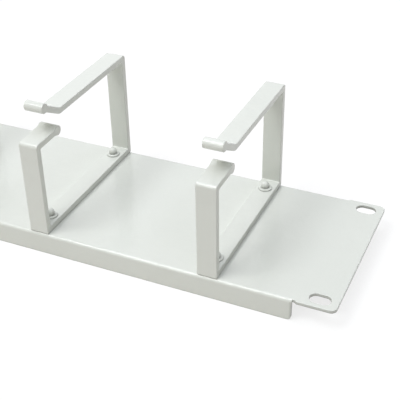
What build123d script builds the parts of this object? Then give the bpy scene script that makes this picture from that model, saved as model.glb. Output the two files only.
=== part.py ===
"""Rack cable management panel, in millimetres.

A folded sheet panel, two rack units high, carries five open cable brackets in a row.
Each bracket is one flat strip bent into a loop whose two ends pass each other near the
front, so that a cable slips in between them. Two blind rivets hold each bracket.

The origin is the centre of the four rack slots, on the panel's rear face, which lies
against the rack's rails. X runs along the panel, Y across it and Z out of its front.
"""
from build123d import *
from math import radians, sqrt, tan
import os

# Rack standard
rack_unit_height = 44.45
rack_units = 2
panel_width = 482.6
panel_height_gap = 0.8
slot_unit_inset = 6.35
slot_end_inset = 8.75
slot_length = 10.0
slot_width = 6.5

# Folded panel
sheet = 1.5
fold_inner_radius = 0.3
panel_depth = 11.5
ear_length = 20.2
ear_corner_radius = 3.0
flange_corner_radius = 2.0
relief_radius = 2.4
relief_depth = 1.0
relief_mouth_radius = 1.0
front_edge_radius = 0.35

# Bracket strip
bracket_count = 5
end_bracket_inset = 41.1
strip_width = 10.0
strip = 3.2
strip_edge_radius = 0.35
bend_inner_radius = 0.5
arm_bend_radius = 1.8
foot_bend_radius = 0.5
near_leg_inset = 0.6
far_leg_inset = 0.1
loop_height = 59.2
short_arm_height = 50.0
short_arm_reach = 18.8
short_arm_tilt = 1.0
lip_start = 22.2
lip_reach = 12.0
lip_angle = 30.0
lip_bend_radius = 2.5
bead_diameter = 5.1
bead_neck_radius = 2.0
short_bead_upper_radius = 6.0

# Blind rivets
rivet_edge_inset = 11.55
rivet_diameter = 3.9
rivet_hole_clearance = 0.05
rivet_head_diameter = 8.0
rivet_head_height = 1.1
rivet_head_rim = 0.4
collar_diameter = 7.0
collar_height = 0.8
mandrel_diameter = 2.2
mandrel_clearance = 0.05
mandrel_ball_diameter = 4.3
mandrel_ball_lift = 1.95
mandrel_recess = 0.4

# Worked out from the sizes above
panel_height = rack_units * rack_unit_height - panel_height_gap
slot_spacing_x = panel_width - 2 * slot_end_inset
slot_spacing_y = rack_units * rack_unit_height - 2 * slot_unit_inset
flange_length = panel_width - 2 * ear_length
bracket_pitch = (flange_length - 2 * end_bracket_inset) / (bracket_count - 1)
rivet_y = panel_height / 2 - rivet_edge_inset
rivet_hole = rivet_diameter + rivet_hole_clearance
strip_top = sheet + strip
collar_top = strip_top + collar_height
tolerance = 0.01


def panel_section():
    """Section across the panel: a flat web with a flange turned back along each long edge."""
    side = (panel_height - sheet) / 2
    middle = sheet / 2
    edge = sheet - panel_depth
    middle_line = FilletPolyline(
        (-side, edge), (-side, middle), (side, middle), (side, edge),
        radius=fold_inner_radius + sheet / 2,
    )
    return trace(middle_line, line_width=sheet)


def web_outline():
    """Flat of the panel between its folds, with both ears, relieved where the folds end."""
    fold_end = flange_length / 2
    side = panel_height / 2
    outline = fillet(Rectangle(panel_width, panel_height).vertices(), ear_corner_radius)
    corners = [(x, y) for x in (-fold_end, fold_end) for y in (-side, side)]
    relief = Circle(relief_radius)
    for x, y in corners:
        centre = y + (relief_radius - relief_depth) * y / side
        outline -= Pos(x, centre) * relief
    fold = Rectangle(flange_length, 2 * (fold_inner_radius + sheet))
    outline -= [Pos(0, y) * fold for y in (-side, side)]
    mouths = [
        v for v in outline.vertices()
        if abs(v.Y) > side - tolerance and abs(v.X) < fold_end + 2 * relief_radius
    ]
    return fillet(mouths, relief_mouth_radius)


def web():
    """Flat of the panel with its rack slots, its cut edges rounded on the front."""
    body = extrude(web_outline(), amount=sheet)
    slots = GridLocations(slot_spacing_x, slot_spacing_y, 2, 2) * SlotOverall(slot_length, slot_width)
    body -= [extrude(slot, amount=sheet) for slot in slots]
    front = body.faces().sort_by(Axis.Z)[-1]
    cut_edges = [e for e in front.edges() if abs(e.center().X) > flange_length / 2 + tolerance]
    return fillet(cut_edges, front_edge_radius)


def panel():
    """Folded panel with its rivet holes."""
    channel = extrude(Plane.YZ * panel_section(), amount=flange_length / 2, both=True)
    ends = channel.edges().filter_by(Axis.Y).group_by(Axis.Z)[0]
    body = fillet(ends, flange_corner_radius) + web()
    holes = GridLocations(bracket_pitch, 2 * rivet_y, bracket_count, 2) * Circle(rivet_hole / 2)
    return body - [extrude(hole, amount=sheet) for hole in holes]


def bent_strip(start, bends, end):
    """Side view of the strip: its middle line thickened with sharp corners, then rounded bend by bend."""
    middle_line = Polyline(start, *[bend[0] for bend in bends], end)
    outline = make_face(offset(middle_line, amount=strip / 2, side=Side.BOTH, kind=Kind.INTERSECTION))
    for point, outward, outer_radius, inner_radius in bends:
        reach = Vector(outward) * strip / 2
        for corner, radius in ((Vector(point) + reach, outer_radius), (Vector(point) - reach, inner_radius)):
            outline = fillet(outline.vertices().sort_by_distance(corner)[0], radius)
    return outline


def beaded(outline, tip, upper_radius):
    """The outline with a bead on one tip, blended into the strip below and above."""
    outline += Pos(*tip) * Circle(bead_diameter / 2)
    for place, radius in ((0, bead_neck_radius), (-1, upper_radius)):
        necks = [
            v for v in outline.vertices().sort_by(Axis.Y)
            if abs((Vector(*v) - Vector(*tip)).length - bead_diameter / 2) < tolerance
        ]
        outline = fillet(necks[place], radius)
    return outline


def bracket():
    """Cable bracket: a strip bent into a loop, each end blended into a bead."""
    near_face = near_leg_inset - panel_height / 2
    near_leg = near_face + strip / 2
    far_leg = panel_height / 2 - far_leg_inset - strip / 2
    base = sheet + strip / 2
    short_arm = sheet + short_arm_height - strip / 2
    long_arm = sheet + loop_height - strip / 2
    lip = near_face + lip_start
    rise = (short_arm_reach - strip / 2) * tan(radians(short_arm_tilt))
    short_tip = (near_face + short_arm_reach, short_arm + rise)
    long_tip = (lip - lip_reach, long_arm + lip_reach * tan(radians(lip_angle)))
    outline = bent_strip(short_tip, [
        ((near_leg, short_arm), (-1, 1), arm_bend_radius, bend_inner_radius),
        ((near_leg, base), (-1, -1), foot_bend_radius, bend_inner_radius),
        ((far_leg, base), (1, -1), foot_bend_radius, bend_inner_radius),
        ((far_leg, long_arm), (1, 1), arm_bend_radius, bend_inner_radius),
        ((lip, long_arm), (0, -1), lip_bend_radius + strip, lip_bend_radius),
    ], long_tip)
    outline = beaded(outline, short_tip, short_bead_upper_radius)
    outline = beaded(outline, long_tip, bead_neck_radius)
    body = extrude(Plane.YZ * outline, amount=strip_width / 2, both=True)
    sides = body.faces().filter_by(Axis.X)
    body = fillet(sides.edges(), strip_edge_radius)
    holes = Locations((0, -rivet_y, sheet), (0, rivet_y, sheet)) * Circle(rivet_hole / 2)
    return body - [extrude(hole, amount=strip) for hole in holes]


def rivet_sleeve():
    """Set rivet body: low head on the panel's rear, shank, and a thin collar squeezed onto the strip."""
    bore = (mandrel_diameter + mandrel_clearance) / 2
    head = rivet_head_diameter / 2
    shank = rivet_diameter / 2
    collar = collar_diameter / 2
    rim = collar_height / 2
    outline = Polyline(
        (collar - rim, collar_top), (bore, collar_top),
        (bore, -rivet_head_height), (shank, -rivet_head_height),
    )
    outline += TangentArc((shank, -rivet_head_height), (head, -rivet_head_rim), tangent=(1, 0))
    outline += Polyline(
        (head, -rivet_head_rim), (head, 0), (shank, 0), (shank, strip_top), (collar - rim, strip_top)
    )
    outline += ThreePointArc(
        (collar - rim, strip_top), (collar, strip_top + rim), (collar - rim, collar_top)
    )
    return revolve(Plane.XZ * make_face(outline), Axis.Z)


def rivet_mandrel():
    """What stays of the mandrel: a stem inside the rivet body and a ball seated on its collar."""
    stem = mandrel_diameter / 2
    ball = mandrel_ball_diameter / 2
    centre = strip_top + mandrel_ball_lift
    seat = sqrt(ball ** 2 - (centre - collar_top) ** 2)
    end = mandrel_recess - rivet_head_height
    outline = Polyline((0, centre + ball), (0, end), (stem, end), (stem, collar_top), (seat, collar_top))
    outline += ThreePointArc((seat, collar_top), (ball, centre), (0, centre + ball))
    return revolve(Plane.XZ * make_face(outline), Axis.Z)


def main():
    os.makedirs("parts", exist_ok=True)
    nodes = {"panel": panel()}
    first = -(bracket_count - 1) / 2 * bracket_pitch
    loop = bracket()
    sleeve = rivet_sleeve()
    mandrel = rivet_mandrel()
    for i in range(bracket_count):
        x = first + i * bracket_pitch
        nodes[f"bracket_{i + 1}"] = Pos(x, 0, 0) * loop
        for side, y in (("near", -rivet_y), ("far", rivet_y)):
            nodes[f"rivet_sleeve_{i + 1}_{side}"] = Pos(x, y, 0) * sleeve
            nodes[f"rivet_mandrel_{i + 1}_{side}"] = Pos(x, y, 0) * mandrel
    for name, shape in nodes.items():
        export_step(shape, f"parts/{name}.step")
        print(name, round(shape.volume, 1))


main()
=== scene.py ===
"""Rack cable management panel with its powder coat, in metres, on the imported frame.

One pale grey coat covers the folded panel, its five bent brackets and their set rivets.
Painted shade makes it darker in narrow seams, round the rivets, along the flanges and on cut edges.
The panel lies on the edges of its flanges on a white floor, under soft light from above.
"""
import math

import bpy
import numpy as np
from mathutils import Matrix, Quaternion, Vector


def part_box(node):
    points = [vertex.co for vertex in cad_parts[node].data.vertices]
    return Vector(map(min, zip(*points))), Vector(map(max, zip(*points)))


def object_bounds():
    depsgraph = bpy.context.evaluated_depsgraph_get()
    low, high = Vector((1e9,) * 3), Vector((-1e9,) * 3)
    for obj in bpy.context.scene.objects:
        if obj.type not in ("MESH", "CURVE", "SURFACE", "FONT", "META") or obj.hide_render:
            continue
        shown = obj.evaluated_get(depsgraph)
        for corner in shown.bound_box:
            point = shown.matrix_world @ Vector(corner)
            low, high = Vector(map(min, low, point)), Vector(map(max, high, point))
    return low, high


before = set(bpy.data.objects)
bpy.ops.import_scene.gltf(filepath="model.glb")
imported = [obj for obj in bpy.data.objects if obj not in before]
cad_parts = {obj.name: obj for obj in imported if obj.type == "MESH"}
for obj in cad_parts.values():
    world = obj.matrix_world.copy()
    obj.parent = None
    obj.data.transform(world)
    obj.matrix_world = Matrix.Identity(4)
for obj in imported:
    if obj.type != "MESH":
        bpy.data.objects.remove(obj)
cad_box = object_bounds()

mm = 0.001

# Camera, fitted to the photograph's edges
image_side = 400
focal_pixels = 880.8
sensor_width = 36.0
clip_start = 0.01
camera_place = Vector((0.30933, -0.33197, 0.25427))
camera_aim = Vector((0.15128, 0.01349, 0.00150))
camera_roll = -1.003

# Light levels: 1 shows a white surface that faces the light as white
lamp_distance = 2.6
key_from = Vector((-0.32, -0.41, 0.85))
key_level = 0.435
key_size = 1.25
key_tint = (0.985, 1.0, 0.975)
front_from = Vector((-0.31, -0.80, 0.51))
front_level = 0.03
front_size = 0.28
top_from = Vector((0.05, 0.0, 1.0))
top_level = 0.975
top_size = 3.4
top_tint = (0.87, 0.905, 1.0)
left_from = Vector((-0.65, -0.20, 0.72))
left_level = 0.11
left_size = 1.4
back_from = Vector((-0.60, 0.70, 0.45))
back_level = 0.03
back_size = 1.6
world_level = 0.11
world_tint = (1.0, 0.90, 0.66)

# Floor: what light it sends back, how white it is seen, and how far off that rises to full white
floor_colour = (0.80, 0.775, 0.745)
floor_glow = 0.78
floor_shade = 0.23
floor_reach = 6.0
far_start = 0.40
far_end = 1.00

# Powder coat: its colours, gloss and tone, and the size and height of its orange peel and slow flow
coat_colour = (0.715, 0.735, 0.690)
bracket_colour = (0.728, 0.748, 0.703)
coat_index = 1.5
coat_roughness = 0.13
roughness_spread = 0.03
gloss_size = 9.0 * mm
tone_spread = 0.02
drift_size = 30.0 * mm
flow_size = 9.0 * mm
flow_height = 0.25 * mm
flow_detail = 1.0
peel_size = 2.0 * mm
peel_height = 0.090 * mm
fine_detail = 2.0
detail_share = 0.5
noise_low = 0.3
noise_high = 0.7

# Places of the pieces, from the frame
panel_low, panel_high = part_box("panel")
sleeve_low, sleeve_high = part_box("rivet_sleeve_1_far")
web_face = panel_high.z
flange_edge = panel_low.z
bracket_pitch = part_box("bracket_2")[0].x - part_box("bracket_1")[0].x
rivet_row = (sleeve_low.y + sleeve_high.y) / 2
collar_face = sleeve_high.z

# Painted shade on the rivets: darker round the bulges' necks and under the collars' rims
collar_height = 0.8 * mm
strip_face = collar_face - collar_height
neck_radius = 1.8 * mm
neck_width = 0.7 * mm
neck_rise = 2.0 * mm
neck_shade_level = 0.66
rim_start = 0.1 * mm
rim_end = 0.5 * mm
rim_shade_level = 0.60

# Painted shade on the brackets: a painted contact shadow along the seam on the web and round each collar
seam_height = 0.45 * mm
seam_shade_level = 0.45
collar_radius = 3.5 * mm
ring_width = 0.45 * mm
ring_shade_level = 0.85

# Painted shade on the panel's cut edges: round the ears and slots, and along the flanges and at their ends
edge_depth = 0.12 * mm
edge_shade_level = 0.80
flange_edge_depth = 0.9 * mm
flange_edge_shade_level = 0.80
flange_end_depth = 1.3 * mm
flange_end_shade_level = 0.72
fold_height = 0.5 * mm

# Margins that keep a face on the right side of a comparison
collar_margin = 0.01 * mm
end_margin = 0.02 * mm
rear_margin = 0.03 * mm


def flange_reach():
    """How far the flanges run from the middle: the farthest point behind the ears' rear face."""
    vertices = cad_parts["panel"].data.vertices
    points = np.empty(3 * len(vertices))
    vertices.foreach_get("co", points)
    points = points.reshape(-1, 3)
    flanges = points[points[:, 2] < -rear_margin]
    return float(np.abs(flanges[:, 0]).max())


def linked(tree, kind, inputs=None, **settings):
    """A new node of that kind, with its settings made and its inputs set or linked."""
    node = tree.nodes.new(kind)
    for name, value in settings.items():
        setattr(node, name, value)
    for name, value in (inputs or {}).items():
        if isinstance(value, bpy.types.NodeSocket):
            tree.links.new(value, node.inputs[name])
        else:
            node.inputs[name].default_value = value
    return node


def coat_noise(tree, place, size, detail):
    """Smooth noise whose bumps are about size across, from 0 to 1."""
    inputs = {"Vector": place, "Scale": 1 / size, "Detail": detail, "Roughness": detail_share}
    return linked(tree, "ShaderNodeTexNoise", inputs).outputs["Fac"]


def spread(tree, noise, low, high):
    """The noise's middle part carried on to the values from low to high."""
    inputs = {"Value": noise, "From Min": noise_low, "From Max": noise_high, "To Min": low, "To Max": high}
    return linked(tree, "ShaderNodeMapRange", inputs).outputs["Result"]


def ramp(tree, value, start, end, low, high):
    """Low up to the start, high from the end on, and a smooth change between them."""
    inputs = {"Value": value, "From Min": start, "From Max": end, "To Min": low, "To Max": high}
    return linked(tree, "ShaderNodeMapRange", inputs, interpolation_type="SMOOTHSTEP").outputs["Result"]


def figured(tree, operation, *values):
    """One sum, product or comparison of values or outputs."""
    return linked(tree, "ShaderNodeMath", dict(enumerate(values)), operation=operation).outputs[0]


def rivet_distance(tree, axes):
    """Distance from the nearest rivet's axis: the rivets stand in two rows, at every bracket's middle."""
    across = figured(tree, "WRAP", axes["X"], bracket_pitch / 2, -bracket_pitch / 2)
    along = figured(tree, "SUBTRACT", figured(tree, "ABSOLUTE", axes["Y"]), rivet_row)
    square = figured(tree, "ADD", figured(tree, "POWER", across, 2.0), figured(tree, "POWER", along, 2.0))
    return figured(tree, "SQRT", square)


def rivet_painted_shade(tree, place):
    """Painted shade on a rivet: darker at the bulge's neck and under the collar's rim."""
    axes = linked(tree, "ShaderNodeSeparateXYZ", {0: place}).outputs
    away = rivet_distance(tree, axes)
    up_ball = ramp(tree, axes["Z"], collar_face, collar_face + neck_rise, neck_shade_level, 1.0)
    off_neck = ramp(tree, away, neck_radius, neck_radius + neck_width, neck_shade_level, 1.0)
    bulge = figured(tree, "GREATER_THAN", axes["Z"], collar_face + collar_margin)
    neck = linked(tree, "ShaderNodeMix", {"Factor": bulge, "A": off_neck, "B": up_ball}).outputs["Result"]
    rim = ramp(tree, axes["Z"], strip_face + rim_start, strip_face + rim_end, rim_shade_level, 1.0)
    behind = figured(tree, "LESS_THAN", axes["Z"], web_face)
    return figured(tree, "MAXIMUM", figured(tree, "MULTIPLY", neck, rim), behind)


def bracket_painted_shade(tree, place):
    """Painted shade on a bracket: a painted contact shadow along its seam on the web and round each collar.
    """
    axes = linked(tree, "ShaderNodeSeparateXYZ", {0: place}).outputs
    away = rivet_distance(tree, axes)
    seam = ramp(tree, axes["Z"], web_face, web_face + seam_height, seam_shade_level, 1.0)
    ring = ramp(tree, away, collar_radius, collar_radius + ring_width, ring_shade_level, 1.0)
    above = figured(tree, "GREATER_THAN", axes["Z"], collar_face)
    return figured(tree, "MULTIPLY", seam, figured(tree, "MAXIMUM", ring, above))


def panel_painted_shade(tree, place):
    """Painted shade on the panel: darker on the cut edges of ears, slots and flanges."""
    axes = linked(tree, "ShaderNodeSeparateXYZ", {0: place}).outputs
    along = figured(tree, "ABSOLUTE", axes["X"])
    flange_end = flange_reach()
    front = ramp(tree, axes["Z"], web_face - edge_depth, web_face, 0.0, 1.0)
    rear = figured(tree, "COMPARE", axes["Z"], 0.0, rear_margin)
    inner = figured(tree, "LESS_THAN", along, flange_end - end_margin)
    covered = figured(tree, "MAXIMUM", figured(tree, "MAXIMUM", front, rear), inner)
    cut = ramp(tree, covered, 0.0, 1.0, edge_shade_level, 1.0)
    low = ramp(tree, axes["Z"], flange_edge, flange_edge + flange_edge_depth, flange_edge_shade_level, 1.0)
    end = ramp(tree, along, flange_end - flange_end_depth, flange_end, 1.0, flange_end_shade_level)
    fold = ramp(tree, axes["Z"], -fold_height, fold_height, 0.0, 1.0)
    tip = figured(tree, "MAXIMUM", end, fold)
    return figured(tree, "MULTIPLY", figured(tree, "MULTIPLY", cut, low), tip)


def powder_coat(name, colour, painted_shade):
    """Semi-gloss powder coat: fine orange peel on a slow flow, with a slight drift in tone and gloss.

    Painted shade darkens its seams, recesses and edges.
    """
    material = bpy.data.materials.new(name)
    material.use_nodes = True
    tree = material.node_tree
    tree.nodes.clear()
    place = linked(tree, "ShaderNodeTexCoord").outputs["Object"]
    drift = coat_noise(tree, place, drift_size, fine_detail)
    # The drift's random tone times the painted shade of seams, recesses and edges
    tone = figured(tree, "MULTIPLY", spread(tree, drift, 1 - tone_spread, 1.0), painted_shade(tree, place))
    tint = linked(tree, "ShaderNodeVectorMath", {0: colour, "Scale": tone}, operation="SCALE")
    gloss = coat_noise(tree, place, gloss_size, fine_detail)
    rough = spread(tree, gloss, coat_roughness - roughness_spread, coat_roughness + roughness_spread)
    flow = linked(tree, "ShaderNodeBump", {
        "Height": coat_noise(tree, place, flow_size, flow_detail), "Distance": flow_height, "Strength": 1.0,
    })
    peel = linked(tree, "ShaderNodeBump", {
        "Height": coat_noise(tree, place, peel_size, fine_detail), "Distance": peel_height, "Strength": 1.0,
        "Normal": flow.outputs["Normal"],
    })
    shader = linked(tree, "ShaderNodeBsdfPrincipled", {
        "Base Color": tint.outputs["Vector"], "Roughness": rough, "IOR": coat_index,
        "Normal": peel.outputs["Normal"],
    })
    linked(tree, "ShaderNodeOutputMaterial", {"Surface": shader.outputs["BSDF"]})
    return material


def coat_frame(panel_coat, bracket_coat, rivet_coat):
    """Every node of the frame takes its coat in place of its plain material."""
    for name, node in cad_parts.items():
        kind = name.split("_")[0]
        coat = {"panel": panel_coat, "bracket": bracket_coat}.get(kind, rivet_coat)
        for slot in node.material_slots:
            slot.material = coat


def seen_ray(tree):
    """1 where the camera, a reflection or a view through something meets it, 0 for its light alone."""
    rays = linked(tree, "ShaderNodeLightPath").outputs
    indirect = figured(tree, "MAXIMUM", rays["Is Glossy Ray"], rays["Is Transmission Ray"])
    return figured(tree, "MAXIMUM", rays["Is Camera Ray"], indirect)


def white_world():
    """White surroundings: full white where they are seen, and a plain level in the light they give."""
    world = bpy.data.worlds.new("studio")
    bpy.context.scene.world = world
    world.use_nodes = True
    tree = world.node_tree
    tree.nodes.clear()
    lit = linked(tree, "ShaderNodeBackground", {"Color": (*world_tint, 1), "Strength": world_level})
    seen = linked(tree, "ShaderNodeBackground", {"Color": (1, 1, 1, 1), "Strength": 1.0})
    sky = linked(tree, "ShaderNodeMixShader", {
        0: seen_ray(tree), 1: lit.outputs["Background"], 2: seen.outputs["Background"],
    })
    linked(tree, "ShaderNodeOutputWorld", {"Surface": sky.outputs["Shader"]})


def floor_paint():
    """Matt white that keeps the object's shadow, lifted where it is seen, to full white far off."""
    material = bpy.data.materials.new("floor_paint")
    material.use_nodes = True
    tree = material.node_tree
    tree.nodes.clear()
    plain = linked(tree, "ShaderNodeBsdfDiffuse", {"Color": (*floor_colour, 1)})
    shade = linked(tree, "ShaderNodeBsdfDiffuse", {"Color": (floor_shade, floor_shade, floor_shade, 1)})
    place = linked(tree, "ShaderNodeTexCoord").outputs["Object"]
    away = linked(tree, "ShaderNodeVectorMath", {0: place}, operation="LENGTH").outputs["Value"]
    level = ramp(tree, away, far_start, far_end, floor_glow, 1.0)
    glow = linked(tree, "ShaderNodeEmission", {"Color": (1, 1, 1, 1), "Strength": level})
    lifted = linked(tree, "ShaderNodeAddShader", {0: shade.outputs["BSDF"], 1: glow.outputs["Emission"]})
    shown = linked(tree, "ShaderNodeMixShader", {
        0: seen_ray(tree), 1: plain.outputs["BSDF"], 2: lifted.outputs["Shader"],
    })
    linked(tree, "ShaderNodeOutputMaterial", {"Surface": shown.outputs["Shader"]})
    return material


def floor():
    """Level square under the flanges' edges."""
    side = np.array([-floor_reach, floor_reach])
    x, y = np.meshgrid(side, side)
    points = np.stack([x, y, np.full_like(x, cad_box[0].z)], axis=-1).reshape(-1, 3)
    mesh = bpy.data.meshes.new("floor")
    mesh.from_pydata(points.tolist(), [], [(0, 1, 3, 2)])
    ground = bpy.data.objects.new("floor", mesh)
    bpy.context.scene.collection.objects.link(ground)
    mesh.materials.append(floor_paint())


def softbox(name, direction, level, size, tint=(1, 1, 1)):
    """Square area light that stands off in a direction and faces the object, at a light level there.

    Its power is the level times pi squared times the square of its distance.
    """
    light = bpy.data.lights.new(name, "AREA")
    light.shape = "SQUARE"
    light.size = size
    light.energy = level * math.pi ** 2 * lamp_distance ** 2
    light.color = tint
    lamp = bpy.data.objects.new(name, light)
    bpy.context.scene.collection.objects.link(lamp)
    lamp.location = camera_aim + direction.normalized() * lamp_distance
    lamp.rotation_mode = "QUATERNION"
    lamp.rotation_quaternion = (-direction).to_track_quat("-Z", "Y")


def camera():
    """Camera at the photograph's place, aimed, then rolled about its line of sight."""
    data = bpy.data.cameras.new("camera")
    data.sensor_width = sensor_width
    data.lens = focal_pixels * sensor_width / image_side
    data.clip_start = clip_start
    holder = bpy.data.objects.new("camera", data)
    bpy.context.scene.collection.objects.link(holder)
    holder.location = camera_place
    holder.rotation_mode = "QUATERNION"
    aim = (camera_aim - camera_place).to_track_quat("-Z", "Y")
    holder.rotation_quaternion = aim @ Quaternion((0, 0, 1), math.radians(camera_roll))
    bpy.context.scene.camera = holder


coat_frame(
    powder_coat("panel_coat", coat_colour, panel_painted_shade),
    powder_coat("bracket_coat", bracket_colour, bracket_painted_shade),
    powder_coat("rivet_coat", bracket_colour, rivet_painted_shade),
)
white_world()
floor()
softbox("key_light", key_from, key_level, key_size, key_tint)
softbox("front_light", front_from, front_level, front_size)
softbox("top_light", top_from, top_level, top_size, top_tint)
softbox("left_light", left_from, left_level, left_size)
softbox("back_light", back_from, back_level, back_size)
camera()
bpy.context.scene.view_settings.view_transform = "Standard"
